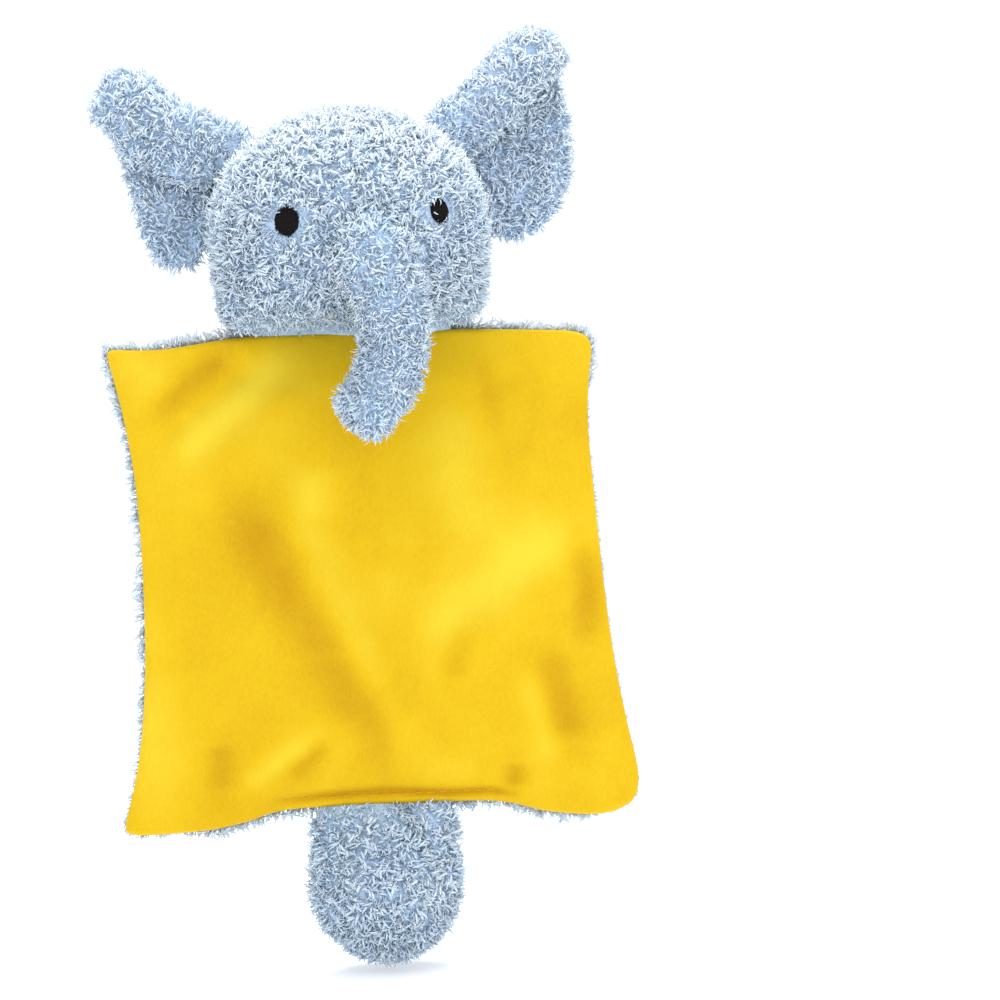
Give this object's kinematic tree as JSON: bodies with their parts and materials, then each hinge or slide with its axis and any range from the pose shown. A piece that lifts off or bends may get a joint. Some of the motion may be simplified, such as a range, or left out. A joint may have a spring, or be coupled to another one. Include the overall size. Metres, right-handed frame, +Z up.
{
  "type": "stuffed elephant comforter",
  "caption": "Flat square comforter pad with a stuffed elephant head, folded ears and curled trunk sewn to its top seam, and a round stuffed foot at its bottom seam.",
  "frame": {"origin": "middle of the pad's flat back face, where a hand holds it", "axes": "+Z up from the foot to the head, +Y out of the pad's back, -Y the toy's front with its face and trunk, +X the side on the right as the toy faces the viewer"},
  "size_m": [0.125, 0.0655, 0.2289],
  "materials": {
    "head_cover_left": "long-pile plush",
    "head_cover_right": "long-pile plush",
    "head_stuffing": "loose fibre filling",
    "eye_left": "matte satin-stitch embroidery",
    "eye_right": "matte satin-stitch embroidery",
    "ear_left_front_panel": "long-pile plush",
    "ear_left_back_panel": "long-pile plush",
    "ear_left_root_thread": "sewing thread",
    "ear_right_front_panel": "long-pile plush",
    "ear_right_back_panel": "long-pile plush",
    "ear_right_root_thread": "sewing thread",
    "trunk_base_cover": "long-pile plush",
    "trunk_base_stuffing": "loose fibre filling",
    "trunk_tip_cover": "long-pile plush",
    "trunk_tip_stuffing": "loose fibre filling",
    "pad_front_panel": "short-nap velour",
    "pad_back_panel": "long-pile plush",
    "pad_wadding": "soft wadding",
    "pad_edge_thread": "sewing thread",
    "closing_stitches": "sewing thread",
    "neck_seam_thread": "sewing thread",
    "foot_seam_thread": "sewing thread",
    "foot_front_cover": "long-pile plush",
    "foot_back_cover": "long-pile plush",
    "foot_stuffing": "loose fibre filling"
  },
  "bodies": {
    "pad": {"pad_front_panel": "pad_front_panel", "pad_back_panel": "pad_back_panel", "pad_wadding": "pad_wadding", "pad_edge_thread": "pad_edge_thread", "neck_seam_thread": "neck_seam_thread", "foot_seam_thread": "foot_seam_thread", "closing_stitches": "closing_stitches"},
    "head": {"head_cover_left": "head_cover_left", "head_cover_right": "head_cover_right", "head_stuffing": "head_stuffing", "eye_left": "eye_left", "eye_right": "eye_right"},
    "ear_left": {"ear_left_front_panel": "ear_left_front_panel", "ear_left_back_panel": "ear_left_back_panel", "ear_left_root_thread": "ear_left_root_thread"},
    "ear_right": {"ear_right_front_panel": "ear_right_front_panel", "ear_right_back_panel": "ear_right_back_panel", "ear_right_root_thread": "ear_right_root_thread"},
    "trunk_base": {"trunk_base_cover": "trunk_base_cover", "trunk_base_stuffing": "trunk_base_stuffing"},
    "trunk_tip": {"trunk_tip_cover": "trunk_tip_cover", "trunk_tip_stuffing": "trunk_tip_stuffing"},
    "foot": {"foot_front_cover": "foot_front_cover", "foot_back_cover": "foot_back_cover", "foot_stuffing": "foot_stuffing"}
  },
  "joints": [
    {"name": "neck_nod", "type": "hinge", "parent": "pad", "child": "head", "pos_m": [0, -0.004, 0.0605], "axis": [1, 0, 0], "range_deg": [-28, 24], "stiffness_Nm_per_rad": 0.06},
    {"name": "ear_left_flap", "type": "hinge", "parent": "head", "child": "ear_left", "pos_m": [-0.027, 0.001, 0.101], "axis": [0.454, 0, 0.891], "range_deg": [-28, 28], "stiffness_Nm_per_rad": 0.015},
    {"name": "ear_right_flap", "type": "hinge", "parent": "head", "child": "ear_right", "pos_m": [0.027, 0.001, 0.101], "axis": [-0.5446, 0, 0.8387], "range_deg": [-28, 28], "stiffness_Nm_per_rad": 0.015},
    {"name": "trunk_lift", "type": "hinge", "parent": "head", "child": "trunk_base", "pos_m": [0.003, -0.031, 0.0765], "axis": [-1, 0, 0], "range_deg": [0, 60], "stiffness_Nm_per_rad": 0.008},
    {"name": "trunk_curl", "type": "hinge", "parent": "trunk_base", "child": "trunk_tip", "pos_m": [0.006, -0.0275, 0.0545], "axis": [0, 1, 0], "range_deg": [-28, 28], "stiffness_Nm_per_rad": 0.003},
    {"name": "foot_swing", "type": "hinge", "parent": "pad", "child": "foot", "pos_m": [0, -0.004, -0.055], "axis": [1, 0, 0], "range_deg": [-40, 40], "stiffness_Nm_per_rad": 0.01}
  ]
}
